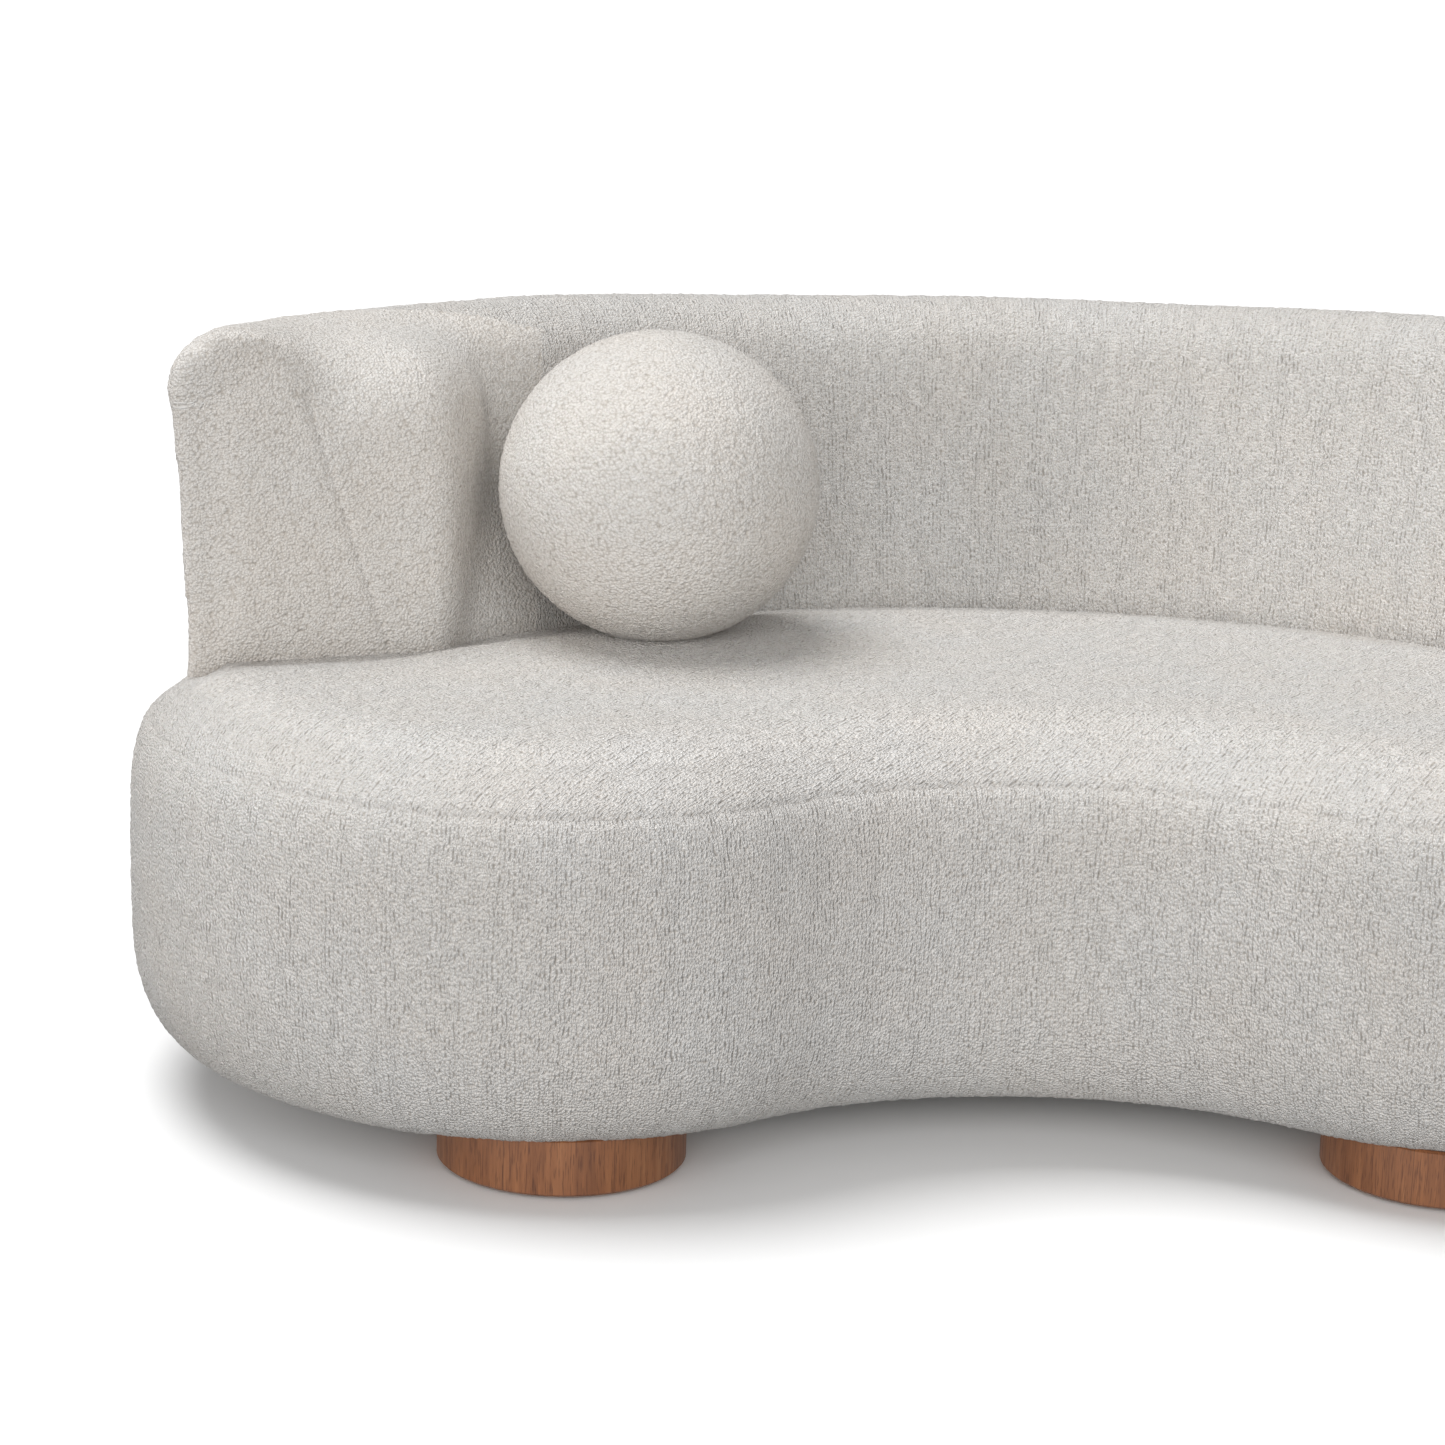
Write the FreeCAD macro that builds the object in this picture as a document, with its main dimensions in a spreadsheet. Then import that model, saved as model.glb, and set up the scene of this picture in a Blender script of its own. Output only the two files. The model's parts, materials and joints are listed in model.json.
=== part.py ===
import FreeCAD, Part
import math
import os
import Sketcher
from FreeCAD import Vector

# Curved lounge sofa with a wraparound back, drum feet and a loose ball pillow.
# Millimetres, +Z up. The origin is on the floor, below the middle of the sofa's plan.
# The sofa faces -Y. Left is -X and right is +X, as seen by someone standing in front of it.

document = FreeCAD.newDocument("curved_sofa")
sheet = document.addObject("Spreadsheet::Sheet", "sizes")

SIZES = {
    # Plan outline of the seat body at its widest: two round lobes, a concave front arc, a rear arc.
    "lobe_radius": 433,
    "lobe_spread": 485,
    "front_arc_radius": 421,
    "rear_arc_radius": 1134,
    # Heights of the seat body.
    "under_height": 62,
    "seat_height": 438,
    "seam_height": 394,
    "bottom_round": 68,
    "top_round": 110,
    "cover_thick": 3,
    # Wooden frame of the base.
    "ply_thick": 18,
    "skin_thick": 6,
    "frame_inset": 62,
    "panel_low": 72,
    "rail_height": 330,
    "rail_width": 160,
    "rib_spacing": 300,
    "rib_count": 4,
    "deck_height": 355,
    "strap_width": 60,
    "strap_thick": 2,
    "strap_pitch": 110,
    "strap_shift": 20,
    "strap_margin": 108,
    "margin_inset": 190,
    # Back and wings: insets are measured from the plan outline, depths from the back's outer face.
    "back_inset": 45,
    "back_depth": 205,
    "back_top_depth": 128,
    "back_height": 766,
    "back_round": 62,
    "back_seam_drop": 58,
    "wing_angle": 17.8,
    "wing_reach": 23,
    "wing_round": 34,
    "frame_gap": 18,
    "frame_depth": 120,
    "frame_top_depth": 82,
    "frame_top": 694,
    "wing_foam": 25,
    "post_width": 30,
    # Drum feet, their felt glides and their bolts. The front pair sits a little left of the middle.
    "foot_radius": 125,
    "foot_x": 446,
    "foot_shift": -15,
    "foot_front_y": 349,
    "foot_rear_x": 520,
    "foot_rear_y": 110,
    "foot_chamfer": 2.5,
    "glide_thick": 3,
    "glide_radius": 110,
    "bolt_radius": 4,
    "bolt_circle": 70,
    "bolt_depth": 34,
    "nut_radius": 11,
    "nut_thick": 4,
    "nut_wall": 1.5,
    "nut_length": 12,
    "screw_radius": 2.5,
    "screw_length": 50,
    "screw_head": 3,
    "screw_inset": 35,
    "screw_pitch": 40,
    "lining_thick": 1.5,
    # Ball pillow.
    "ball_radius": 168,
    "ball_x": 371,
    "ball_y": 50,
    "ball_gap": 0.6,
    "zip_width": 8,
    "zip_length": 200,
    "zip_drop": 70,
}
LONG_STRAPS = 4
CROSS_STRAPS_EACH_SIDE = 6
SPARE = 0.5
BIG = 3000


def fill_sheet():
    """Write every driving size to the sheet, one row each, under its own alias."""
    for row, (name, value) in enumerate(SIZES.items(), 1):
        sheet.set("A%d" % row, name)
        sheet.set("B%d" % row, str(value))
        sheet.setAlias("B%d" % row, name)
    document.recompute()


def size(name):
    return float(sheet.get(name))


fill_sheet()

# Centres of the outline's arcs, as sheet formulas, so that the outline is centred on the origin.
LOBE_Y = (
    "((<<sizes>>.lobe_radius + sqrt((<<sizes>>.rear_arc_radius - <<sizes>>.lobe_radius) ^ 2"
    " - <<sizes>>.lobe_spread ^ 2) - <<sizes>>.rear_arc_radius) / 2)"
)
SPREAD = size("lobe_spread")
REAR_DROP = math.sqrt((size("rear_arc_radius") - size("lobe_radius")) ** 2 - SPREAD**2)
FRONT_DROP = math.sqrt((size("front_arc_radius") + size("lobe_radius")) ** 2 - SPREAD**2)
LOBE_MIDDLE_Y = (size("lobe_radius") + REAR_DROP - size("rear_arc_radius")) / 2
REAR_MIDDLE_Y = LOBE_MIDDLE_Y - REAR_DROP
FRONT_MIDDLE_Y = LOBE_MIDDLE_Y - FRONT_DROP
REAR_ANGLE = math.atan2(REAR_DROP, SPREAD)
FRONT_ANGLE = math.atan2(FRONT_DROP, SPREAD)


def cells(formula):
    """A sheet formula from a short one, such as 'seat_height - cover_thick'."""
    words = formula.replace("(", "( ").replace(")", " )").split()
    return " ".join("<<sizes>>." + word if word in SIZES else word for word in words)


def number(formula):
    """The value of a short formula."""
    words = formula.replace("(", "( ").replace(")", " )").split()
    total = 0.0
    sign = 1
    for word in words:
        if word in "+-":
            sign = 1 if word == "+" else -1
        else:
            total += sign * (size(word) if word in SIZES else float(word))
    return total


# ---- Outline and kidney-shaped boards ----


def arc(middle_x, middle_y, radius, start, end):
    circle = Part.Circle(Vector(middle_x, middle_y, 0), Vector(0, 0, 1), radius)
    return Part.ArcOfCircle(circle, start, end)


def outline_arcs(inset):
    """Right lobe, rear, left lobe and front arc of the outline, moved inwards by inset."""
    lobe = size("lobe_radius") - inset
    return [
        arc(SPREAD, LOBE_MIDDLE_Y, lobe, FRONT_ANGLE - math.pi, REAR_ANGLE),
        arc(0, REAR_MIDDLE_Y, size("rear_arc_radius") - inset, REAR_ANGLE, math.pi - REAR_ANGLE),
        arc(-SPREAD, LOBE_MIDDLE_Y, lobe, math.pi - REAR_ANGLE, 2 * math.pi - FRONT_ANGLE),
        arc(0, FRONT_MIDDLE_Y, size("front_arc_radius") + inset, FRONT_ANGLE, math.pi - FRONT_ANGLE),
    ]


def origin_plane(body, role):
    return next(item for item in body.Origin.OriginFeatures if item.Role == role)


def outline_sketch(body, name, inset, height):
    """A sketch of the outline, moved inwards by inset, at a height above the floor."""
    sketch = body.newObject("Sketcher::SketchObject", name)
    sketch.AttachmentSupport = [(origin_plane(body, "XY_Plane"), "")]
    sketch.MapMode = "FlatFace"
    sketch.setExpression("AttachmentOffset.Base.z", cells(height))
    sketch.addGeometry(outline_arcs(number(inset)), False)
    start, end, middle = 1, 2, 3
    joints = [(0, end, 1, start), (1, end, 2, start), (2, end, 3, end), (3, start, 0, start)]
    for one, one_end, other, other_end in joints:
        sketch.addConstraint(Sketcher.Constraint("Tangent", one, one_end, other, other_end))
    radii = [
        "lobe_radius - ( " + inset + " )",
        "rear_arc_radius - ( " + inset + " )",
        "lobe_radius - ( " + inset + " )",
        "front_arc_radius + ( " + inset + " )",
    ]
    for index, radius in enumerate(radii):
        value = sketch.Geometry[index].Radius
        which = sketch.addConstraint(Sketcher.Constraint("Radius", index, value))
        sketch.setExpression("Constraints[%d]" % which, cells(radius))
    for index, side in ((0, 1), (2, -1)):
        across = sketch.addConstraint(
            Sketcher.Constraint("DistanceX", -1, 1, index, middle, side * SPREAD)
        )
        sketch.setExpression("Constraints[%d]" % across, cells("%d * lobe_spread" % side))
        along = sketch.addConstraint(
            Sketcher.Constraint("DistanceY", -1, 1, index, middle, LOBE_MIDDLE_Y)
        )
        sketch.setExpression("Constraints[%d]" % along, LOBE_Y)
    return sketch


def board(label, inset, bottom, thickness, hole_inset=None):
    """A kidney-shaped board, with a kidney-shaped hole through it if hole_inset is given."""
    body = document.addObject("PartDesign::Body", label)
    body.Label = label
    pad = body.newObject("PartDesign::Pad", label + "_pad")
    pad.Profile = outline_sketch(body, label + "_outline", inset, bottom)
    pad.setExpression("Length", cells(thickness))
    if hole_inset:
        pocket = body.newObject("PartDesign::Pocket", label + "_opening")
        pocket.Profile = outline_sketch(body, label + "_opening_outline", hole_inset, bottom)
        pocket.Type = "ThroughAll"
        pocket.Midplane = True
    document.recompute()
    return body


def rim_edges(shape, height):
    """Names of the edges that lie flat at a height."""
    names = []
    for index, edge in enumerate(shape.Edges, 1):
        box = edge.BoundBox
        if abs(box.ZMin - height) < 0.01 and abs(box.ZMax - height) < 0.01:
            names.append("Edge%d" % index)
    return names


def rounded_body(label, inset, low, high, low_round, high_round):
    """The seat body's round-edged form, moved inwards by inset."""
    body = board(label, inset, low, "( " + high + " ) - ( " + low + " )")
    for tag, height, radius in (("low", low, low_round), ("high", high, high_round)):
        base = body.Tip
        fillet = body.newObject("PartDesign::Fillet", label + "_" + tag)
        fillet.Base = (base, rim_edges(base.Shape, number(height)))
        fillet.setExpression("Radius", cells(radius))
        document.recompute()
    return body


# ---- Small helpers for shapes and nodes ----

nodes = {}


def keep(item, label):
    """Give a document object its node name."""
    item.Label = label
    nodes[label] = item
    return item


def feature(label, shape):
    """A node whose shape is set directly."""
    item = document.addObject("Part::Feature", label)
    item.Shape = shape.removeSplitter() if len(shape.Solids) == 1 else shape
    item.Placement = FreeCAD.Placement()
    return keep(item, label)


def slab(low, high):
    """All of space between two heights."""
    return Part.makeBox(2 * BIG, 2 * BIG, high - low, Vector(-BIG, -BIG, low))


def solids(shape):
    """The shape's solids as one compound, without slivers."""
    return Part.Compound([solid for solid in shape.Solids if solid.Volume > 100])


# ---- Back and wings ----


def turned_solid(face, middle, start, angle):
    """A profile face drawn in the XZ plane at the axis, turned about a vertical axis."""
    face = face.copy()
    face.rotate(Vector(0, 0, 0), Vector(0, 0, 1), math.degrees(start))
    face.translate(middle)
    return face.revolve(middle, Vector(0, 0, 1), math.degrees(angle))


def swept_wall(profile):
    """Sweep a profile round the rear of the outline.

    profile(radius) gives the face for an arc of the outline of that radius, in the XZ plane, with X the
    distance from the arc's centre. The wall runs past both wings' ends, to the line through the lobes.
    """
    lobe = profile(size("lobe_radius"))
    rear = profile(size("rear_arc_radius"))
    right = Vector(SPREAD, LOBE_MIDDLE_Y, 0)
    left = Vector(-SPREAD, LOBE_MIDDLE_Y, 0)
    wall = turned_solid(rear, Vector(0, REAR_MIDDLE_Y, 0), REAR_ANGLE, math.pi - 2 * REAR_ANGLE)
    wall = wall.fuse(turned_solid(lobe, right, 0, REAR_ANGLE))
    return wall.fuse(turned_solid(lobe, left, math.pi - REAR_ANGLE, REAR_ANGLE))


def raked_profile(outer, seat_inner, top_inner, low, high, rounding):
    """Profile of a wall whose inner face is upright below the seat and leans back above it.

    outer, seat_inner and top_inner are depths from the back's outer face.
    """

    def profile(radius):
        face_x = radius - size("back_inset")
        seat = max(size("seat_height"), low)
        shoulder = high - rounding
        outline = [Vector(face_x - outer, 0, low), Vector(face_x - seat_inner, 0, low)]
        if low < seat < shoulder:
            outline.append(Vector(face_x - seat_inner, 0, seat))
        outline.append(Vector(face_x - top_inner, 0, shoulder))
        edges = [Part.makeLine(one, other) for one, other in zip(outline, outline[1:])]
        if rounding:
            crown_in = Vector(face_x - top_inner + rounding, 0, high)
            crown_out = Vector(face_x - outer - rounding, 0, high)
            corner = rounding * (1 - math.sqrt(0.5))
            in_middle = Vector(face_x - top_inner + corner, 0, high - corner)
            out_middle = Vector(face_x - outer - corner, 0, high - corner)
            outer_shoulder = Vector(face_x - outer, 0, shoulder)
            edges.append(Part.Arc(outline[-1], in_middle, crown_in).toShape())
            edges.append(Part.makeLine(crown_in, crown_out))
            edges.append(Part.Arc(crown_out, out_middle, outer_shoulder).toShape())
        else:
            outer_shoulder = Vector(face_x - outer, 0, high)
            edges.append(Part.makeLine(outline[-1], outer_shoulder))
        edges.append(Part.makeLine(outer_shoulder, outline[0]))
        return Part.Face(Part.Wire(edges))

    return profile


def wing_front(offset, thickness=BIG):
    """Blocks in front of both wings' ends, moved back by offset. With a thickness, slabs that end there."""
    blocks = []
    for side in (-1, 1):
        block = Part.makeBox(2 * BIG, BIG, 2 * BIG, Vector(-BIG, -BIG, -BIG))
        if thickness != BIG:
            block = Part.makeBox(2 * BIG, thickness, 2 * BIG, Vector(-BIG, -thickness, -BIG))
        block.translate(Vector(0, offset, 0))
        turn = -side * size("wing_angle")
        block.rotate(Vector(0, 0, 0), Vector(0, 0, 1), turn)
        outer_x = size("lobe_radius") - size("back_inset")
        block.translate(Vector(side * (SPREAD + outer_x), LOBE_MIDDLE_Y + size("wing_reach"), 0))
        half = Part.makeBox(BIG, 2 * BIG, 2 * BIG, Vector(0 if side > 0 else -BIG, -BIG, -BIG))
        blocks.append(block.common(half))
    return blocks


def wall(outer, seat_inner, top_inner, low, high, rounding=0, end_offset=0):
    """A layer of the back, from one wing's end round to the other's."""
    shape = swept_wall(raked_profile(outer, seat_inner, top_inner, low, high, rounding))
    for block in wing_front(end_offset):
        shape = shape.cut(block)
    return shape.removeSplitter()


def corner_cutters(inset):
    """Blocks that round the upright outer corner of each wing's end; inset moves the rounding inwards."""
    turn = math.radians(size("wing_angle"))
    face_radius = size("lobe_radius") - size("back_inset")
    rounding = size("wing_round")
    radius = rounding - inset
    cutters = []
    for side in (-1, 1):
        along = Vector(-side * math.cos(turn), math.sin(turn), 0)
        front = Vector(-side * math.sin(turn), -math.cos(turn), 0)
        lobe = Vector(side * SPREAD, LOBE_MIDDLE_Y, 0)
        start = Vector(side * (SPREAD + face_radius), LOBE_MIDDLE_Y + size("wing_reach"), 0)
        start = start - front * rounding - lobe
        half = start.dot(along)
        spare = start.dot(start) - (face_radius - rounding) ** 2
        middle = lobe + start + along * (-half - math.sqrt(half**2 - spare))
        outward = (middle - lobe).normalize()
        far = Vector(side, -1, 0)
        far_point = middle + far * 4 * rounding
        first = middle + front * radius
        last = middle + outward * radius
        halfway = middle + (front + outward).normalize() * radius
        corners = [first, first + front * rounding, far_point, last + outward * rounding, last]
        edges = [Part.makeLine(one, other) for one, other in zip(corners, corners[1:])]
        edges.append(Part.Arc(last, halfway, first).toShape())
        cutters.append(Part.Face(Part.Wire(edges)).extrude(Vector(0, 0, BIG)))
    return cutters


def round_corners(shape, inset):
    for cutter in corner_cutters(inset):
        shape = shape.cut(cutter)
    return shape


def build_back(seat_hull):
    """Frame, foam and covers of the back and its two wings, which stand on the seat body."""
    cover = size("cover_thick")
    seat = size("seat_height")
    top = size("back_height")
    rounding = size("back_round")
    depth = size("back_depth")
    top_depth = size("back_top_depth")
    gap = size("frame_gap")
    ply = size("ply_thick")
    skin = size("skin_thick")
    rail_top = size("rail_height") + ply
    frame_top = size("frame_top")
    frame_depth = size("frame_depth")
    frame_top_depth = size("frame_top_depth")
    end_gap = cover + size("wing_foam")

    seam = size("seam_height")
    hull = round_corners(wall(0, depth, top_depth, seam, top, rounding), 0)
    core = wall(cover, depth - cover, top_depth - cover, seam, top - cover, rounding - cover, cover)
    core = round_corners(core, cover)
    shell = hull.cut(core).cut(seat_hull)
    whole_shell = shell

    end_slabs = wing_front(cover, cover + SPARE)
    for side, block in zip(("left", "right"), end_slabs):
        feature("wing_end_cover_" + side, solids(shell.common(block)).Solids[0])
    for block in end_slabs:
        shell = shell.cut(block)
    roll = top - size("back_seam_drop")
    outer_zone = wall(-SPARE, cover + SPARE, cover + SPARE, seam, roll, 0, cover)
    feature("outside_back_cover", solids(shell.common(outer_zone)).Solids[0])
    feature("inside_back_cover", solids(shell.cut(outer_zone)).Solids[0])

    # Bent plywood skins, sill, top plate, posts and end boards.
    frame = wall(gap, frame_depth, frame_top_depth, rail_top, frame_top + ply, 0, end_gap)
    boards = wing_front(end_gap + ply, ply + SPARE)
    for side, block in zip(("left", "right"), boards):
        feature("wing_end_board_" + side, solids(frame.common(block)).Solids[0])
    for block in boards:
        frame = frame.cut(block)
    sill_top = rail_top + ply
    feature("back_sill", frame.common(slab(rail_top, sill_top)))
    feature("back_top_plate", frame.common(slab(frame_top, frame_top + ply)))
    middle_part = frame.common(slab(sill_top, frame_top))
    inside = wall(
        gap + skin, frame_depth - skin, frame_top_depth - skin, rail_top, frame_top + ply, 0, end_gap
    )
    skins = middle_part.cut(inside)
    outer_side = wall(gap - 1, gap + skin + SPARE, gap + skin + SPARE, rail_top, top, 0, end_gap)
    feature("back_outer_panel", solids(skins.common(outer_side)).Solids[0])
    feature("back_inner_panel", solids(skins.cut(outer_side)).Solids[0])
    posts = wall(
        gap + skin + SPARE,
        frame_depth - skin - SPARE,
        frame_top_depth - skin - SPARE,
        sill_top,
        frame_top,
        0,
        end_gap + ply,
    )
    half = size("post_width") / 2
    for index, (middle, angle) in enumerate(post_places(), 1):
        box = Part.makeBox(BIG, 2 * half, BIG, Vector(0, -half, 0))
        box.rotate(Vector(0, 0, 0), Vector(0, 0, 1), math.degrees(angle))
        box.translate(middle)
        feature("back_post_%d" % index, solids(posts.common(box)).Solids[0])

    # Foam: outside pad, inside pad, top roll and the pads on the wings' ends.
    deck = size("deck_height")
    below = wall(0, depth, depth, deck, seat)
    filled = core.fuse(below).removeSplitter()
    envelope = wall(gap, frame_depth, frame_top_depth, rail_top, frame_top + ply, 0, end_gap)
    foam = filled.cut(envelope).cut(whole_shell)
    end_blocks = wing_front(end_gap)
    for side, block in zip(("left", "right"), end_blocks):
        feature("wing_end_foam_" + side, solids(foam.common(block)).Solids[0])
        foam = foam.cut(block)
    feature("back_top_roll", solids(foam.common(slab(frame_top + ply, top))).Solids[0])
    foam = foam.common(slab(deck, frame_top + ply))
    outer_pad = wall(-1, gap + SPARE, gap + SPARE, deck, frame_top + ply)
    feature("back_outer_foam", solids(foam.common(outer_pad)).Solids[0])
    feature("back_inner_foam", solids(foam.cut(outer_pad)).Solids[0])


def post_places():
    """Axis and direction of each upright post: one in each wing, the rest along the rear arc."""
    wing = (math.pi - math.pi / 10, math.pi / 10)
    places = [(Vector(-SPREAD, LOBE_MIDDLE_Y, 0), wing[0])]
    first = math.pi - REAR_ANGLE
    spans = 4
    for step in range(spans + 1):
        angle = first - (math.pi - 2 * REAR_ANGLE) * step / spans
        places.append((Vector(0, REAR_MIDDLE_Y, 0), angle))
    places.append((Vector(SPREAD, LOBE_MIDDLE_Y, 0), wing[1]))
    return places


# ---- Seat body ----


def boolean(kind, label, base, tool):
    item = document.addObject("Part::" + kind, label)
    item.Base = base
    item.Tool = tool
    document.recompute()
    return item


def rib_places():
    """Where the cross ribs' middle planes are, from left to right."""
    count = int(size("rib_count"))
    return [(index - (count - 1) / 2) * size("rib_spacing") for index in range(count)]


def build_base_frame(holes):
    """Base board, front and rear panels, ribs and the seat rail."""
    edge = "frame_inset + skin_thick"
    plank = board("base_board_blank", edge, "under_height + cover_thick", "ply_thick")
    keep(boolean("Cut", "base_board", plank, holes), "base_board")
    floor_top = "under_height + cover_thick + ply_thick"
    ring = board(
        "frame_panels", "frame_inset", "panel_low", "rail_height + ply_thick - panel_low", edge
    ).Shape
    middle = LOBE_MIDDLE_Y
    rear_half = Part.makeBox(2 * BIG, BIG, BIG, Vector(-BIG, middle, 0))
    feature("front_panel", solids(ring.cut(rear_half)).Solids[0])
    feature("rear_panel", solids(ring.common(rear_half)).Solids[0])
    inside = board("rib_limit", edge, floor_top, "rail_height - ( " + floor_top + " )")
    ply = size("ply_thick")
    for index, across in enumerate(rib_places()):
        blank = document.addObject("Part::Box", "rib_blank_%d" % (index + 1))
        blank.setExpression("Length", cells("ply_thick"))
        blank.Width = BIG
        blank.setExpression("Height", cells("rail_height"))
        blank.Placement.Base = Vector(across - ply / 2, -BIG / 2, 0)
        label = "cross_rib_%d" % (index + 1)
        keep(boolean("Common", label, inside, blank), label)


def screw(label, places, low, shank, head, length, head_thick):
    """A group of equal screws with flat heads at the top."""
    group = []
    for x, y in places:
        body = Part.makeCylinder(shank, length, Vector(x, y, low))
        cap = Part.makeCylinder(head, head_thick, Vector(x, y, low + length - head_thick))
        group.append(body.fuse(cap).removeSplitter())
    return Part.Compound(group)


def rail_screw_places():
    """Two screws through the rail into each end of each rib."""
    places = []
    inset = size("frame_inset") + size("screw_inset")
    pitch = size("screw_pitch")
    for across in rib_places():
        rear = REAR_MIDDLE_Y + math.sqrt((size("rear_arc_radius") - inset) ** 2 - across**2)
        if abs(across) < SPREAD / 2:
            front = FRONT_MIDDLE_Y + math.sqrt((size("front_arc_radius") + inset) ** 2 - across**2)
        else:
            reach = abs(across) - SPREAD
            front = LOBE_MIDDLE_Y - math.sqrt((size("lobe_radius") - inset) ** 2 - reach**2)
        places += [(across, rear), (across, rear - pitch), (across, front), (across, front + pitch)]
    return places


def build_seat():
    """Rail, webbing, felt, foam and covers of the seat body."""
    rail = size("rail_height")
    ply = size("ply_thick")
    screws = screw(
        "rail_screws", rail_screw_places(), rail + ply - size("screw_length"),
        size("screw_radius"), 2 * size("screw_radius"), size("screw_length"), size("screw_head"),
    )
    feature("rail_screws", screws)
    edge = "frame_inset + skin_thick"
    ring = board("seat_rail_blank", edge, "rail_height", "ply_thick", edge + " + rail_width")
    keep(boolean("Cut", "seat_rail", ring, nodes["rail_screws"]), "seat_rail")
    for index in range(1, int(size("rib_count")) + 1):
        label = "cross_rib_%d" % index
        drilled = boolean("Cut", label + "_drilled", nodes[label], nodes["rail_screws"])
        nodes[label].Label = label + "_plain"
        keep(drilled, label)

    strap = size("strap_thick")
    width = size("strap_width")
    margin = "frame_inset + strap_margin"
    limit = board("strap_limit", margin, "rail_height + ply_thick", "2 * strap_thick").Shape
    long_straps = []
    cross_straps = []
    for step in range(LONG_STRAPS):
        place = LOBE_MIDDLE_Y + size("strap_pitch") * step + size("strap_shift")
        bar = Part.makeBox(2 * BIG, width, strap, Vector(-BIG, place - width / 2, rail + ply))
        long_straps += limit.common(bar).Solids
    for step in range(-CROSS_STRAPS_EACH_SIDE, CROSS_STRAPS_EACH_SIDE + 1):
        place = size("strap_pitch") * step
        bar = Part.makeBox(width, 2 * BIG, strap, Vector(place - width / 2, -BIG, rail + ply + strap))
        cross_straps += limit.common(bar).Solids
    feature("seat_webbing_long", Part.Compound(long_straps))
    feature("seat_webbing_cross", Part.Compound(cross_straps))
    felt = "rail_height + ply_thick + strap_thick + strap_thick"
    keep(board("deck_felt", margin, felt, "deck_height - ( " + felt + " )"), "deck_felt")

    hull = rounded_body("seat_hull", "0", "under_height", "seat_height", "bottom_round", "top_round")
    inner = rounded_body(
        "seat_fill", "cover_thick", "under_height + cover_thick", "seat_height - cover_thick",
        "bottom_round - cover_thick", "top_round - cover_thick",
    )
    core = board("frame_space", "frame_inset", "under_height", "deck_height - under_height")
    foam = boolean("Cut", "seat_foams", inner, core).Shape
    deck = size("deck_height")
    band = wall(0, size("back_depth"), size("back_depth"), deck, size("back_height"))
    feature("border_foam", solids(foam.common(slab(0, deck))).Solids[0])
    upper = foam.common(slab(deck, size("seat_height"))).cut(band)
    behind = Part.makeBox(2 * BIG, BIG, BIG, Vector(-BIG, LOBE_MIDDLE_Y + size("wing_reach"), 0))
    ring = wall(-size("back_inset") - 1, SPARE, SPARE, deck, size("seat_height"))
    feature("shoulder_foam", solids(upper.common(behind).common(ring)).Solids[0])
    feature("seat_foam", solids(upper.cut(nodes["shoulder_foam"].Shape)).Solids[0])

    shell = boolean("Cut", "seat_shell", hull, inner).Shape
    seam = size("seam_height")
    middle = board("margin_limit", "margin_inset", "0", "under_height + ply_thick").Shape
    border = shell.common(slab(0, seam)).cut(middle).cut(nodes["foot_bolts"].Shape)
    feature("border_cover", solids(border).Solids[0])
    cap = shell.common(slab(seam, size("seat_height"))).cut(band)
    ring = wall(-size("back_inset") - 1, SPARE, SPARE, seam, size("seat_height"))
    strip = solids(cap.common(behind).common(ring)).Solids[0]
    feature("shoulder_cover", strip)
    feature("seat_top_cover", solids(cap.cut(strip)).Solids[0])
    lining = board(
        "dust_lining", "margin_inset + 0.5", "under_height + cover_thick - lining_thick", "lining_thick"
    )
    keep(boolean("Cut", "dust_lining_drilled", lining, nodes["foot_bolts"]), "dust_lining")
    return hull.Shape


# ---- Feet ----


def foot_places():
    front = size("foot_front_y")
    rear = size("foot_rear_y")
    return {
        "front_left": (size("foot_shift") - size("foot_x"), -front),
        "front_right": (size("foot_shift") + size("foot_x"), -front),
        "rear_left": (-size("foot_rear_x"), rear),
        "rear_right": (size("foot_rear_x"), rear),
    }


def drum(name, place):
    """A turned wooden drum with small chamfers at both rims."""
    body = document.addObject("PartDesign::Body", "foot_" + name + "_drum")
    sketch = body.newObject("Sketcher::SketchObject", "foot_" + name + "_circle")
    sketch.AttachmentSupport = [(origin_plane(body, "XY_Plane"), "")]
    sketch.MapMode = "FlatFace"
    sketch.setExpression("AttachmentOffset.Base.z", cells("glide_thick"))
    sketch.addGeometry(Part.Circle(Vector(0, 0, 0), Vector(0, 0, 1), size("foot_radius")), False)
    sketch.addConstraint(Sketcher.Constraint("Coincident", 0, 3, -1, 1))
    which = sketch.addConstraint(Sketcher.Constraint("Radius", 0, size("foot_radius")))
    sketch.setExpression("Constraints[%d]" % which, cells("foot_radius"))
    pad = body.newObject("PartDesign::Pad", "foot_" + name + "_pad")
    pad.Profile = sketch
    pad.setExpression("Length", cells("under_height - glide_thick"))
    document.recompute()
    chamfer = body.newObject("PartDesign::Chamfer", "foot_" + name + "_chamfer")
    rims = rim_edges(pad.Shape, size("glide_thick")) + rim_edges(pad.Shape, size("under_height"))
    chamfer.Base = (pad, rims)
    chamfer.setExpression("Size", cells("foot_chamfer"))
    body.Placement.Base = Vector(place[0], place[1], 0)
    document.recompute()
    return body


def bolt_places():
    places = []
    for x, y in foot_places().values():
        for step in range(3):
            angle = math.radians(90 + 120 * step)
            places.append(
                (x + size("bolt_circle") * math.cos(angle), y + size("bolt_circle") * math.sin(angle))
            )
    return places


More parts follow.
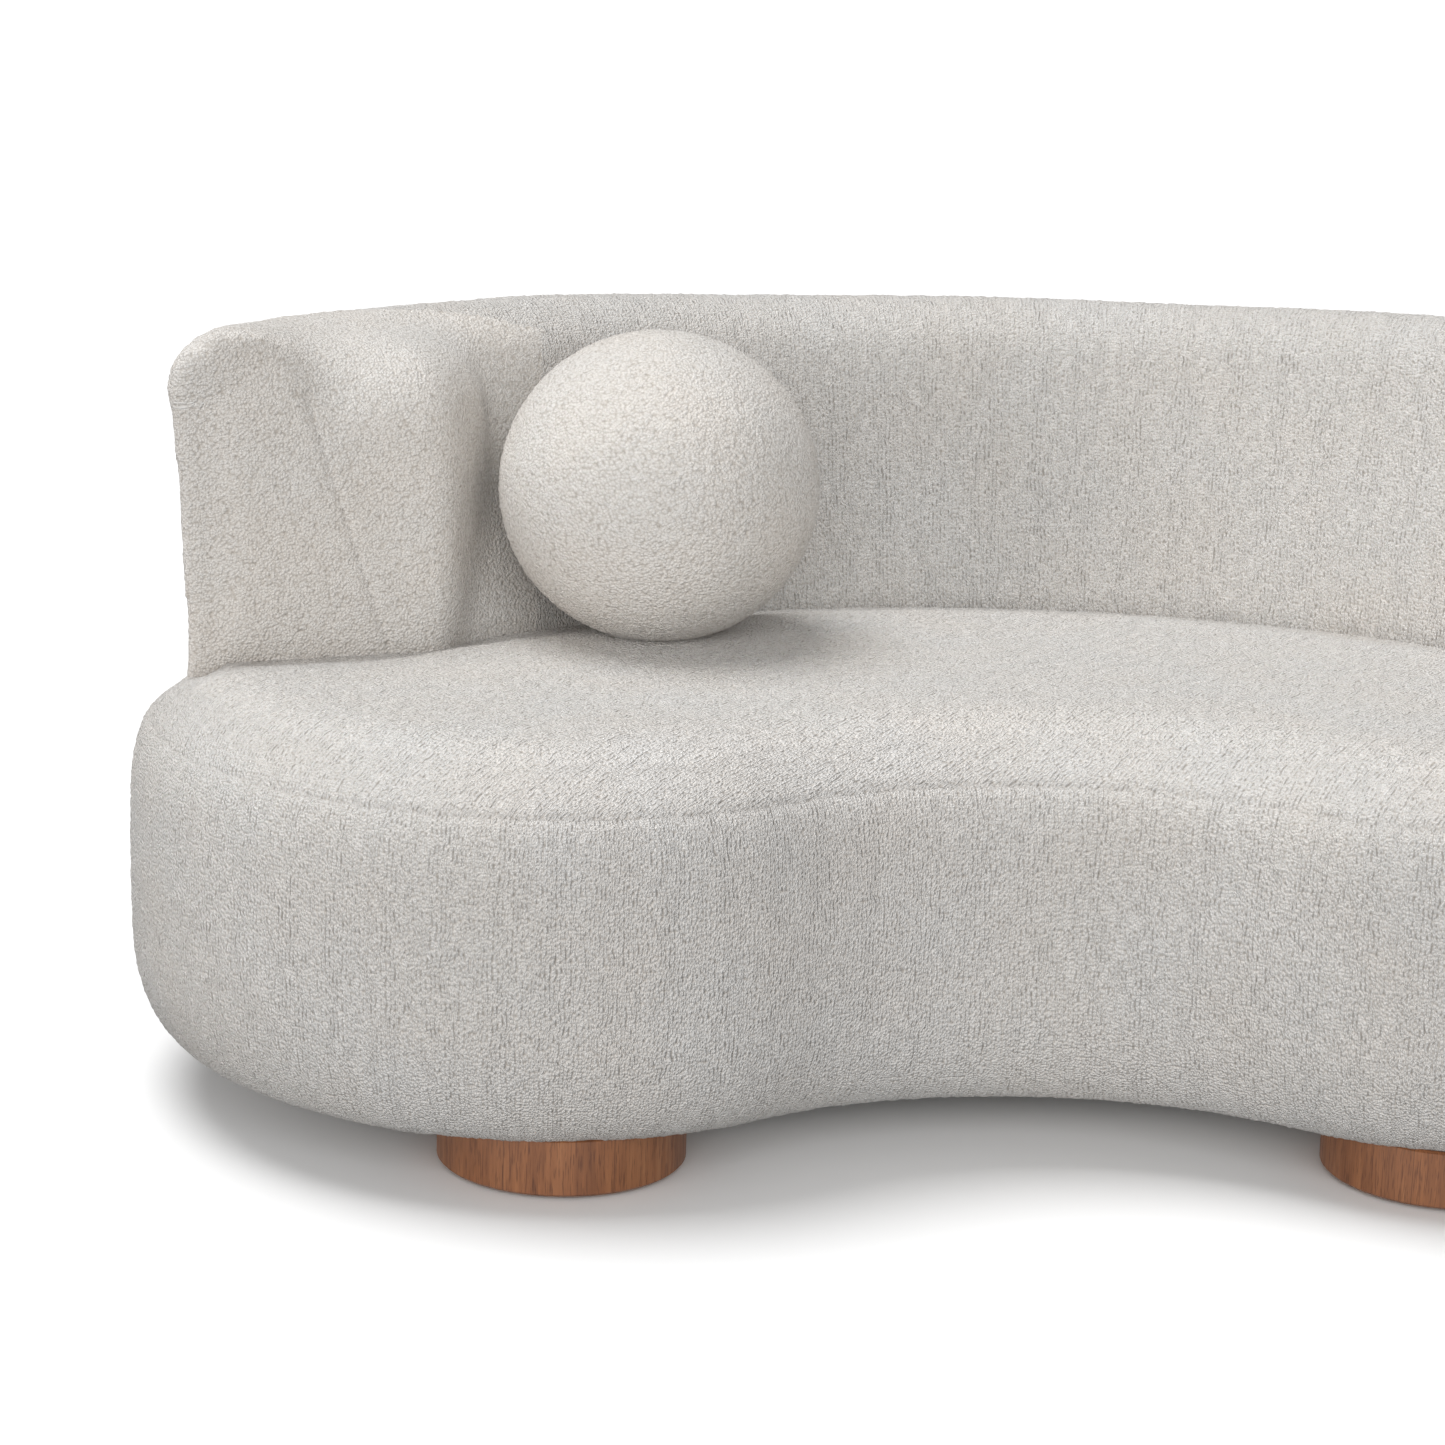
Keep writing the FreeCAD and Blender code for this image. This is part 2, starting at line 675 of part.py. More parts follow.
def build_feet():
    """Four drums with felt glides, their hanger bolts and the nuts in the base board."""
    board_top = number("under_height + cover_thick + ply_thick")
    low = size("under_height") - size("bolt_depth")
    bolts = []
    nuts = []
    for x, y in bolt_places():
        bolts.append(Part.makeCylinder(size("bolt_radius"), board_top - low, Vector(x, y, low)))
        flange_low = Vector(x, y, board_top - size("nut_thick"))
        barrel_low = Vector(x, y, board_top - size("nut_length"))
        flange = Part.makeCylinder(size("nut_radius"), size("nut_thick"), flange_low)
        barrel_radius = size("bolt_radius") + size("nut_wall")
        barrel = Part.makeCylinder(barrel_radius, size("nut_length"), barrel_low)
        nuts.append(flange.fuse(barrel).removeSplitter())
    feature("foot_bolts", Part.Compound(bolts))
    nut_group = Part.Compound([nut.cut(bolt) for nut, bolt in zip(nuts, bolts)])
    feature("foot_bolt_nuts", nut_group)
    holes = document.addObject("Part::Feature", "foot_holes")
    holes.Shape = Part.Compound([nut.fuse(bolt) for nut, bolt in zip(nuts, bolts)])
    for name, place in foot_places().items():
        blank = drum(name, place)
        label = "foot_" + name
        keep(boolean("Cut", label, blank, nodes["foot_bolts"]), label)
        glide = document.addObject("Part::Cylinder", "glide_" + name)
        glide.setExpression("Radius", cells("glide_radius"))
        glide.setExpression("Height", cells("glide_thick"))
        glide.Placement.Base = Vector(place[0], place[1], 0)
        keep(glide, "glide_" + name)
    return holes


# ---- Ball pillow ----


def ball(name, inset):
    """A ball about the origin, smaller by inset all over."""
    item = document.addObject("Part::Sphere", name)
    item.setExpression("Radius", cells("ball_radius - %s" % inset))
    document.recompute()
    return item


def build_ball():
    """Cover, filling and zip of the loose ball pillow, which rests on the seat against the back."""
    rest = Vector(
        -size("ball_x"),
        size("ball_y"),
        number("seat_height + ball_gap + ball_radius"),
    )
    outer = ball("ball_outside", "0")
    filling = ball("ball_filling", "cover_thick")
    shell = outer.Shape.cut(filling.Shape)
    length = size("zip_length")
    low = -number("zip_drop + zip_width")
    zone = Part.makeBox(length, BIG, size("zip_width"), Vector(-length / 2, 0, low))
    keep(filling, "ball_filling")
    feature("ball_cover", solids(shell.cut(zone)).Solids[0])
    feature("ball_zip", solids(shell.common(zone)).Solids[0])
    for label in ("ball_filling", "ball_cover", "ball_zip"):
        nodes[label].Placement.Base = rest


# ---- Build, check and write ----


def check_document():
    document.recompute()
    for item in document.Objects:
        bad = [state for state in item.State if state in ("Invalid", "Error")]
        if bad:
            raise RuntimeError("%s: %s" % (item.Label, bad))
    for label, item in nodes.items():
        if item.Shape.isNull() or not item.Shape.isValid() or not item.Shape.Solids:
            raise RuntimeError("bad shape: " + label)


def write_parts():
    os.makedirs("parts", exist_ok=True)
    for label, item in sorted(nodes.items()):
        item.Shape.exportStep(os.path.join("parts", label + ".step"))
        box = item.Shape.BoundBox
        print(
            "%-24s solids %2d  litres %8.3f  x %6.0f..%-6.0f y %6.0f..%-6.0f z %5.0f..%-5.0f"
            % (
                label, len(item.Shape.Solids), item.Shape.Volume / 1e6,
                box.XMin, box.XMax, box.YMin, box.YMax, box.ZMin, box.ZMax,
            )
        )


build_base_frame(build_feet())
build_back(build_seat())
build_ball()
check_document()
write_parts()
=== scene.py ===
import json
import math

import bmesh
import bpy
import numpy as np
from mathutils import Matrix, Vector


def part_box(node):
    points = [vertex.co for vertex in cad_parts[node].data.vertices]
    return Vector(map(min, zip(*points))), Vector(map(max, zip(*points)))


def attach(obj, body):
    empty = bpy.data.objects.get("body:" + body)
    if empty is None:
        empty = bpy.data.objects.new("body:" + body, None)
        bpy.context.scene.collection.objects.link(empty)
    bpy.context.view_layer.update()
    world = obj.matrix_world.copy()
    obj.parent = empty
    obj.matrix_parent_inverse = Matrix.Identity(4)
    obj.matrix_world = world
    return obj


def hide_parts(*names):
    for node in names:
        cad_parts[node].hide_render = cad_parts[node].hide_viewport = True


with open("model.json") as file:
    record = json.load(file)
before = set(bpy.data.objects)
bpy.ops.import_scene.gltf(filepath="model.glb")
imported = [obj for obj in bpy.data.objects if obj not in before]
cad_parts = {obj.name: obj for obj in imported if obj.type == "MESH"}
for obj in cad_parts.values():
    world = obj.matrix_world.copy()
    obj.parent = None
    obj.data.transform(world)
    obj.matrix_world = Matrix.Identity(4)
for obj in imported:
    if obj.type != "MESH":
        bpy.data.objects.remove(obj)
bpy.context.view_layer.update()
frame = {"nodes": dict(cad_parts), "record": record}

# ---- Driving sizes, in metres, in the part's frame ----

LOBE_RADIUS = 0.433
LOBE_SPREAD = 0.485
FRONT_RADIUS = 0.421
REAR_RADIUS = 1.134
UNDER_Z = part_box("border_cover")[0].z
SEAM_Z = 0.394
BACK_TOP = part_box("inside_back_cover")[1].z
BACK_INSET = 0.045
WING_ANGLE = math.radians(17.8)
WING_REACH = 0.023
OUTER_X = LOBE_SPREAD + LOBE_RADIUS - BACK_INSET
VOXEL = 0.0042
NUB_HEIGHT = 0.0011
NUB_SEED = 7
CLOTH_FRAMES = 20

REAR_DROP = math.sqrt((REAR_RADIUS - LOBE_RADIUS) ** 2 - LOBE_SPREAD**2)
FRONT_DROP = math.sqrt((FRONT_RADIUS + LOBE_RADIUS) ** 2 - LOBE_SPREAD**2)
LOBE_Y = (LOBE_RADIUS + REAR_DROP - REAR_RADIUS) / 2
REAR_Y = LOBE_Y - REAR_DROP
FRONT_Y = LOBE_Y - FRONT_DROP
REAR_ANGLE = math.atan2(REAR_DROP, LOBE_SPREAD)
FRONT_ANGLE = math.atan2(FRONT_DROP, LOBE_SPREAD)


# ---- Camera, floor and light ----

SENSOR = 36
LENS = 99.65398
CAMERA_PLACE = (-0.453, -4.1308, 1.423)
COOL = (0.97, 0.985, 1.0)
WARM = (1.0, 0.99, 0.98)
WORLD_STRENGTH = 0.38
FLOOR_SIZE = 60
FLOOR_DROP = 0.0005
# Each sun's name, direction, strength, angle across in degrees, and colour.
SUNS = (
    ("overhead", (0.28, -0.20, -1), 2.50, 36, COOL),
    ("front", (-0.08, 0.95, -0.25), 2.05, 60, COOL),
    ("key", (0.76, 0.62, -0.12), 1.00, 24, WARM),
)


def add_camera():
    """The photograph's view: seen from the front, a little left of the middle, looking down."""
    yaw, pitch, roll = math.radians(2.14), math.radians(14.4), math.radians(1.64)
    level_part = math.cos(pitch)
    forward = Vector((math.sin(yaw) * level_part, math.cos(yaw) * level_part, -math.sin(pitch)))
    level = Vector((math.cos(yaw), -math.sin(yaw), 0))
    upward = level.cross(forward)
    right = level * math.cos(roll) + upward * math.sin(roll)
    top = upward * math.cos(roll) - level * math.sin(roll)
    data = bpy.data.cameras.new("camera")
    data.sensor_width = SENSOR
    data.lens = LENS
    camera = bpy.data.objects.new("camera", data)
    turn = Matrix((right, top, -forward)).transposed().to_4x4()
    camera.matrix_world = Matrix.Translation(CAMERA_PLACE) @ turn
    bpy.context.scene.collection.objects.link(camera)
    bpy.context.scene.camera = camera


def add_sun(name, direction, strength, angle, colour):
    data = bpy.data.lights.new(name, "SUN")
    data.energy = strength
    data.angle = math.radians(angle)
    data.color = colour
    light = bpy.data.objects.new(name, data)
    light.rotation_euler = Vector(direction).to_track_quat("-Z", "Y").to_euler()
    bpy.context.scene.collection.objects.link(light)


def add_stage():
    """A white studio: a soft light from above and behind, a low one in front, and one from the left."""
    world = bpy.data.worlds.new("studio")
    bpy.context.scene.world = world
    world.use_nodes = True
    background = world.node_tree.nodes["Background"]
    background.inputs["Color"].default_value = (*COOL, 1)
    background.inputs["Strength"].default_value = WORLD_STRENGTH
    for sun in SUNS:
        add_sun(*sun)
    bpy.ops.mesh.primitive_plane_add(size=FLOOR_SIZE, location=(0, 0, -FLOOR_DROP))
    floor = bpy.context.object
    floor.name = "floor"
    material = bpy.data.materials.new("floor")
    material.use_nodes = True
    shader = material.node_tree.nodes["Principled BSDF"]
    shader.inputs["Base Color"].default_value = (0.90, 0.89, 0.88, 1)
    shader.inputs["Roughness"].default_value = 0.9
    floor.data.materials.append(material)
    # The floor takes shadows, but the light it would throw back up is left out.
    floor.visible_diffuse = False
    bpy.context.scene.view_settings.view_transform = "Standard"


# ---- Plan outline ----


def outline_ring(inset, steps):
    """Points of the outline moved inwards by inset, counted along its four arcs by steps."""
    lobe = LOBE_RADIUS - inset
    arcs = [
        (LOBE_SPREAD, LOBE_Y, lobe, FRONT_ANGLE - math.pi, REAR_ANGLE, 0.75),
        (0, REAR_Y, REAR_RADIUS - inset, REAR_ANGLE, math.pi - REAR_ANGLE, 1),
        (-LOBE_SPREAD, LOBE_Y, lobe, math.pi - REAR_ANGLE, 2 * math.pi - FRONT_ANGLE, 0.75),
        (0, FRONT_Y, FRONT_RADIUS + inset, math.pi - FRONT_ANGLE, FRONT_ANGLE, 0.3),
    ]
    points = []
    for x, y, radius, start, end, share in arcs:
        angles = np.linspace(start, end, int(steps * share), endpoint=False)
        points.append(np.column_stack((x + radius * np.cos(angles), y + radius * np.sin(angles))))
    return np.concatenate(points)


def arc_insets(co):
    """Inset of each point from the front, lobe and rear arcs, or a big number outside an arc's reach."""
    x, y = np.abs(co[:, 0]), co[:, 1]
    from_lobe = np.arctan2(y - LOBE_Y, x - LOBE_SPREAD)
    in_rear = np.arctan2(y - REAR_Y, x) >= REAR_ANGLE
    in_front = np.arctan2(y - FRONT_Y, x) >= FRONT_ANGLE
    in_lobe = (from_lobe >= FRONT_ANGLE - math.pi) & (from_lobe <= REAR_ANGLE)
    front = np.where(in_front, np.hypot(x, y - FRONT_Y) - FRONT_RADIUS, 9.0)
    lobe = np.where(in_lobe, LOBE_RADIUS - np.hypot(x - LOBE_SPREAD, y - LOBE_Y), 9.0)
    rear = np.where(in_rear, REAR_RADIUS - np.hypot(x, y - REAR_Y), 9.0)
    return np.stack((front, lobe, rear))


def inset_at(co):
    """How far inside the plan outline each point is."""
    return arc_insets(co).min(axis=0)


def girth_at(co, depth=0.0):
    """Distance round the outline, moved inwards by depth, from the front's middle to either side."""
    x, y = np.abs(co[:, 0]), co[:, 1]
    zone = arc_insets(co).argmin(axis=0)
    front_end = FRONT_RADIUS * (math.pi / 2 - FRONT_ANGLE)
    lobe_radius = LOBE_RADIUS - depth
    lobe_end = front_end + lobe_radius * (REAR_ANGLE - FRONT_ANGLE + math.pi)
    along_front = FRONT_RADIUS * np.arctan2(x, y - FRONT_Y)
    turned = np.arctan2(y - LOBE_Y, x - LOBE_SPREAD) - (FRONT_ANGLE - math.pi)
    along_rear = lobe_end + (REAR_RADIUS - depth) * (np.arctan2(y - REAR_Y, x) - REAR_ANGLE)
    return np.choose(zone, (along_front, front_end + lobe_radius * turned, along_rear))


def behind_wing_end(co):
    """How far each point is behind the plane of the wings' ends, negative in front of it."""
    x, y = np.abs(co[:, 0]), co[:, 1]
    start_y = LOBE_Y + WING_REACH
    return (y - start_y) * math.cos(WING_ANGLE) - (OUTER_X - x) * math.sin(WING_ANGLE)


def smooth_step(value, low, high):
    part = np.clip((value - low) / (high - low), 0, 1)
    return part * part * (3 - 2 * part)


# ---- Meshes ----


def link(name, data):
    piece = bpy.data.objects.new(name, data)
    bpy.context.scene.collection.objects.link(piece)
    return piece


def loft(name, rings):
    """A closed mesh through rings of equally many points, capped at both ends."""
    count = len(rings[0])
    co = np.concatenate(rings)
    faces = []
    for ring in range(len(rings) - 1):
        low, high = ring * count, (ring + 1) * count
        for index in range(count):
            after = (index + 1) % count
            faces.append((low + index, low + after, high + after, high + index))
    faces.append(tuple(range(count))[::-1])
    last = (len(rings) - 1) * count
    faces.append(tuple(range(last, last + count)))
    data = bpy.data.meshes.new(name)
    data.from_pydata(co.tolist(), [], faces)
    data.validate()
    return link(name, data)


def apply_modifiers(piece):
    """Turn the piece's modifiers into its mesh."""
    graph = bpy.context.evaluated_depsgraph_get()
    data = bpy.data.meshes.new_from_object(piece.evaluated_get(graph))
    piece.modifiers.clear()
    piece.data = data
    return piece


def remesh(piece, size):
    modifier = piece.modifiers.new("remesh", "REMESH")
    modifier.mode = "VOXEL"
    modifier.voxel_size = size
    modifier.use_smooth_shade = True
    return apply_modifiers(piece)


def relax(piece, steps, weights=None):
    """Smooth the mesh, where weights say how much of it moves at each point."""
    modifier = piece.modifiers.new("relax", "SMOOTH")
    modifier.factor = 0.5
    modifier.iterations = steps
    if weights is not None:
        group = piece.vertex_groups.new(name="relax")
        for level in range(1, 11):
            chosen = np.nonzero(np.round(weights * 10) == level)[0]
            group.add(chosen.tolist(), level / 10, "REPLACE")
        modifier.vertex_group = "relax"
    apply_modifiers(piece)
    piece.vertex_groups.clear()
    return piece


def points_of(piece):
    co = np.empty(len(piece.data.vertices) * 3, np.float32)
    piece.data.vertices.foreach_get("co", co)
    return co.reshape(-1, 3).astype(float)


def normals_of(piece):
    normals = np.empty(len(piece.data.vertices) * 3, np.float32)
    piece.data.vertices.foreach_get("normal", normals)
    return normals.reshape(-1, 3).astype(float)


def put_points(piece, co):
    piece.data.vertices.foreach_set("co", co.astype(np.float32).ravel())
    piece.data.update()


def nubs(piece, height=NUB_HEIGHT):
    """Small random swelling of the boucle's loops, in the mesh itself."""
    grain = np.random.default_rng(NUB_SEED).uniform(-0.4, 1.0, len(piece.data.vertices)) ** 3
    co = points_of(piece)
    put_points(piece, co + normals_of(piece) * (grain * height)[:, None])
    for index, (scale, share) in enumerate(((0.012, 0.8), (0.06, 1.0))):
        texture = bpy.data.textures.new("%s_nubs_%d" % (piece.name, index), "CLOUDS")
        texture.noise_scale = scale
        modifier = piece.modifiers.new("nubs", "DISPLACE")
        modifier.texture = texture
        modifier.texture_coords = "LOCAL"
        modifier.strength = height * share
        modifier.mid_level = 0.5
    return apply_modifiers(piece)


def swell(piece, shrink, limit):
    """Blow the padded piece up gently as cloth, and cap the movement.

    It starts smaller by shrink, or larger where shrink is negative, because the cloth pulls itself in.
    """
    start = points_of(piece)
    put_points(piece, start - normals_of(piece) * shrink)
    modifier = piece.modifiers.new("cloth", "CLOTH")
    settings = modifier.settings
    settings.quality = 4
    settings.mass = 0.3
    settings.tension_stiffness = 15
    settings.compression_stiffness = 15
    settings.bending_stiffness = 0.6
    settings.use_pressure = True
    settings.uniform_pressure_force = 4
    settings.effector_weights.gravity = 0
    modifier.point_cache.frame_start = 1
    modifier.point_cache.frame_end = CLOTH_FRAMES
    for step in range(1, CLOTH_FRAMES + 1):
        bpy.context.scene.frame_set(step)
    apply_modifiers(piece)
    bpy.context.scene.frame_set(1)
    moved = points_of(piece) - start
    length = np.linalg.norm(moved, axis=1)
    capped = np.minimum(1, limit / np.maximum(length, 1e-9))
    put_points(piece, start + moved * capped[:, None])


def subdivide(piece, levels):
    modifier = piece.modifiers.new("subdivide", "SUBSURF")
    modifier.levels = levels
    modifier.render_levels = levels
    return apply_modifiers(piece)


def lay_cloth(piece, across, along, mirrored=False):
    """Give the piece cloth coordinates in metres, from two values for each of its points."""
    data = piece.data
    layer = data.uv_layers.new(name="cloth")
    corners = np.empty(len(data.loops), np.int32)
    data.loops.foreach_get("vertex_index", corners)
    u = across[corners]
    if mirrored:
        counts = np.empty(len(data.polygons), np.int32)
        data.polygons.foreach_get("loop_total", counts)
        side = np.sign(face_centres(piece)[:, 0])
        u = u * np.repeat(side, counts)
    layer.data.foreach_set("uv", np.column_stack((u, along[corners])).astype(np.float32).ravel())


def split(piece, parts):
    """Cut a mesh into pieces: parts gives each one's name and which faces it takes."""
    made = {}
    for name, taken in parts.items():
        mesh = bmesh.new()
        mesh.from_mesh(piece.data)
        mesh.faces.ensure_lookup_table()
        doomed = [face for face, keep in zip(mesh.faces, taken) if not keep]
        bmesh.ops.delete(mesh, geom=doomed, context="FACES")
        data = bpy.data.meshes.new(name)
        mesh.to_mesh(data)
        mesh.free()
        data.polygons.foreach_set("use_smooth", np.ones(len(data.polygons), bool))
        made[name] = link(name, data)
    bpy.data.objects.remove(piece)
    return made


def face_centres(piece):
    centres = np.empty(len(piece.data.polygons) * 3, np.float32)
    piece.data.polygons.foreach_get("center", centres)
    return centres.reshape(-1, 3).astype(float)


# ---- Seat body ----

SEAT_PLANE = 0.446
SEAT_BY_BACK = 0.430
SIDE_TOP = 0.311
TOP_REACH = 0.14
TOP_POWER = 2.6
UNDER_SAG = 0.007
SHOULDER_DROP = 0.016
BOTTOM_TOP = 0.19
BOTTOM_REACH = 0.085
BOTTOM_POWER = 2.5
SEAM_DEPTH = 0.0020
SEAM_WIDTH = 0.004
FOOT_NAMES = ("foot_front_left", "foot_front_right", "foot_rear_left", "foot_rear_right")
FOOT_EDGE = 0.006
FOOT_GAP = 0.0005


def seat_profile():
    """Inset and height of the seat body's section, from the underside to the top."""
    steps = np.linspace(0, math.pi / 2, 16)
    under = UNDER_Z - UNDER_SAG
    low = [
        (BOTTOM_REACH * (1 - math.sin(a) ** (2 / BOTTOM_POWER)),
         BOTTOM_TOP - (BOTTOM_TOP - under) * math.cos(a) ** (2 / BOTTOM_POWER))
        for a in steps
    ]
    high = [
        (TOP_REACH * (1 - math.cos(a) ** (2 / TOP_POWER)),
         SIDE_TOP + (SEAT_PLANE - SIDE_TOP) * math.sin(a) ** (2 / TOP_POWER))
        for a in steps
    ]
    return [(0.12, under)] + low + [(-0.001, 0.25)] + high + [(0.2, SEAT_PLANE)]


def seat_dip(co):
    """How far the seat sinks towards the back and the wings' ends, where it is pulled down."""
    inner = np.maximum(inset_at(co) - BACK_INSET - BACK_DEPTH, 0)
    ahead = np.maximum(-behind_wing_end(co), 0)
    near = 1 - smooth_step(np.hypot(inner, ahead), 0.0, 0.13)
    return near * np.maximum(co[:, 2] - SEAT_BY_BACK, 0)


def build_seat():
    """The seat body, run as cloth and then cut into the border, the seat's top and the shoulder."""
    rings = []
    for inset, height in seat_profile():
        ring = outline_ring(inset, 300)
        rings.append(np.column_stack((ring, np.full(len(ring), height))))
    body = remesh(loft("seat_body", rings), 2 * VOXEL)
    relax(body, 2)
    swell(body, -0.001, 0.005)
    subdivide(body, 1)
    co = points_of(body)
    on_top = smooth_step(co[:, 2], 0.38, 0.43)
    co[:, 2] -= on_top * seat_dip(co)
    inset = inset_at(co)
    beside_back = smooth_step(co[:, 1], LOBE_Y - 0.06, LOBE_Y + 0.06)
    outside = 1 - smooth_step(inset, 0.07, 0.10)
    co[:, 2] -= SHOULDER_DROP * beside_back * outside * smooth_step(co[:, 2], 0.37, 0.43)
    # The seam round the top edge: its points lie on it, and it pulls in a little.
    at_edge = inset < 0.08
    on_seam = at_edge & (np.abs(co[:, 2] - SEAM_Z) < VOXEL / 2)
    co[:, 2] = np.where(on_seam, SEAM_Z, co[:, 2])
    groove = SEAM_DEPTH * np.exp(-(((co[:, 2] - SEAM_Z) / SEAM_WIDTH) ** 2)) * at_edge
    co -= normals_of(body) * groove[:, None]
    for name in FOOT_NAMES:
        low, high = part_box(name)
        middle = (low + high) / 2
        over = np.hypot(co[:, 0] - middle.x, co[:, 1] - middle.y) < (high.x - low.x) / 2 - FOOT_EDGE
        co[:, 2] = np.where(over & (co[:, 2] < high.z + FOOT_GAP), high.z + FOOT_GAP, co[:, 2])
    put_points(body, co)
    nubs(body)
    centres = face_centres(body)
    inset = inset_at(centres)
    depth = inset - BACK_INSET
    behind = behind_wing_end(centres)
    upper = (centres[:, 2] > SEAM_Z) & (inset < 0.5)
    under_back = (depth > 0.03) & (depth < 0.16) & (behind > 0.04) & (centres[:, 2] > 0.41)
    shoulder = upper & (depth <= 0.1) & (centres[:, 1] > LOBE_Y + WING_REACH) & ~under_back
    underside = (centres[:, 2] < UNDER_Z + 0.004) & (inset > 0.188)
    border = ~upper & ~underside
    made = split(
        body,
        {
            "border_upholstery_left": border & (centres[:, 0] < 0),
            "border_upholstery_right": border & (centres[:, 0] >= 0),
            "seat_top_upholstery": upper & ~shoulder & ~under_back,
            "shoulder_upholstery": shoulder,
        },
    )
    for name, piece in made.items():
        co = points_of(piece)
        if name == "seat_top_upholstery":
            lay_cloth(piece, *bias_coordinates(co))
            continue
        inset = inset_at(co)
        wrapped = inset * (2 * smooth_step(co[:, 2], 0.18, 0.36) - 1)
        lay_cloth(piece, girth_at(co), co[:, 2] + wrapped, mirrored=True)
    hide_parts("border_cover", "border_foam")
    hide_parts("seat_top_cover", "seat_foam")
    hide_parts("shoulder_cover", "shoulder_foam")
    return made


def bias_coordinates(co):
    """Cloth coordinates of the seat's top panel, whose rows run slantwise, unrolled at its edge."""
    drop = np.maximum(SEAT_PLANE - co[:, 2] - 0.01, 0) * 0.8
    insets = arc_insets(co)
    zone = insets.argmin(axis=0)
    side = np.sign(co[:, 0])
    middles = np.array(((0, FRONT_Y), (LOBE_SPREAD, LOBE_Y), (0, REAR_Y)))[zone]
    middles[:, 0] *= side
    outward = co[:, :2] - middles
    outward /= np.maximum(np.linalg.norm(outward, axis=1), 1e-6)[:, None]
    outward *= np.where(zone == 0, -1, 1)[:, None]
    flat = co[:, :2] + outward * (drop * (insets.min(axis=0) < 0.14))[:, None]
    turn = math.radians(52)
    along = flat[:, 0] * math.cos(turn) + flat[:, 1] * math.sin(turn)
    across = flat[:, 1] * math.cos(turn) - flat[:, 0] * math.sin(turn)
    return across, along


# ---- Back and wings ----

BACK_ROUND = 0.062
BACK_DEPTH = 0.205
BACK_TOP_DEPTH = 0.130
BACK_LOW = 0.40
OUTER_LEAN = 0.008
OUTER_BULGE = 0.012
WING_RISE = 0.010
MIDDLE_SINK = -0.001
CORNER_FILL = 0.008
# The wing tips' pieces: how far they reach behind the wings' ends, and the distance from the middle.
TIP_REACH = 0.17
TIP_START_X = 0.5
WING_SEAM_DEPTH = 0.0022
WING_SEAM_WIDTH = 0.0045
# The wing's thick inner corner. At each height, its corners are given by their distance from the
# middle and by how far they are behind the wing's end.
WING_TIP = (
    (0.400, ((0.78, 0.010), (0.592, -0.004), (0.556, 0.10), (0.64, 0.26))),
    (0.690, ((0.78, 0.010), (0.592, -0.004), (0.556, 0.10), (0.64, 0.26))),
    (0.738, ((0.78, 0.020), (0.612, 0.020), (0.585, 0.12), (0.655, 0.26))),
    (0.764, ((0.78, 0.050), (0.66, 0.058), (0.635, 0.15), (0.69, 0.26))),
)


def back_profile():
    """Depth from the outer face, and height, from the outside's foot over the top to the inside's."""
    shoulder = BACK_TOP - BACK_ROUND
    seat = 0.438
    points = []
    for z in np.linspace(BACK_LOW, shoulder, 12):
        part = smooth_step(z, seat, shoulder)
        points.append((OUTER_LEAN - OUTER_BULGE * part, z))
    out = OUTER_LEAN - OUTER_BULGE
    for angle in np.linspace(0, math.pi, 16)[1:-1]:
        middle = out + BACK_ROUND if angle < math.pi / 2 else BACK_TOP_DEPTH - BACK_ROUND
        points.append((middle - BACK_ROUND * math.cos(angle), shoulder + BACK_ROUND * math.sin(angle)))
    for z in np.linspace(shoulder, BACK_LOW, 14):
        part = (shoulder - z) / (shoulder - seat)
        belly = 0.004 * math.sin(math.pi * min(part, 1))
        points.append((BACK_TOP_DEPTH + (BACK_DEPTH - BACK_TOP_DEPTH) * part + belly, z))
    return points


def end_angle(radius):
    """Angle about a lobe's centre where a circle of this radius meets the wing's end plane."""
    outer_x = LOBE_RADIUS - BACK_INSET
    low, high = -0.3, 1.2
    for _ in range(40):
        middle = (low + high) / 2
        x, y = radius * math.cos(middle), radius * math.sin(middle)
        side = (y - WING_REACH) * math.cos(WING_ANGLE) - (outer_x - x) * math.sin(WING_ANGLE)
        low, high = (middle, high) if side < 0 else (low, middle)
    return (low + high) / 2


def back_columns():
    """The back's section, repeated from the right wing's end round to the left one's."""
    profile = back_profile()
    lobe_steps, rear_steps = 16, 90
    ends = [end_angle(LOBE_RADIUS - BACK_INSET - depth) for depth, _ in profile]
    wing = []
    for step in range(lobe_steps):
        column = []
        for (depth, z), end in zip(profile, ends):
            angle = end + (REAR_ANGLE - end) * step / lobe_steps
            radius = LOBE_RADIUS - BACK_INSET - depth
            column.append((LOBE_SPREAD + radius * math.cos(angle), LOBE_Y + radius * math.sin(angle), z))
        wing.append(column)
    rear = []
    for step in range(rear_steps + 1):
        angle = REAR_ANGLE + (math.pi - 2 * REAR_ANGLE) * step / rear_steps
        column = []
        for depth, z in profile:
            radius = REAR_RADIUS - BACK_INSET - depth
            column.append((radius * math.cos(angle), REAR_Y + radius * math.sin(angle), z))
        rear.append(column)
    mirrored = [[(-x, y, z) for x, y, z in column] for column in reversed(wing)]
    columns = [np.array(column) for column in wing + rear + mirrored]
    for column in columns:
        x = np.abs(column[:, 0])
        lift = WING_RISE * smooth_step(x, 0.20, 0.55) - MIDDLE_SINK * (1 - smooth_step(x, 0.2, 0.5))
        column[:, 2] += lift * (column[:, 2] - BACK_LOW) / (BACK_TOP - BACK_LOW)
    return columns


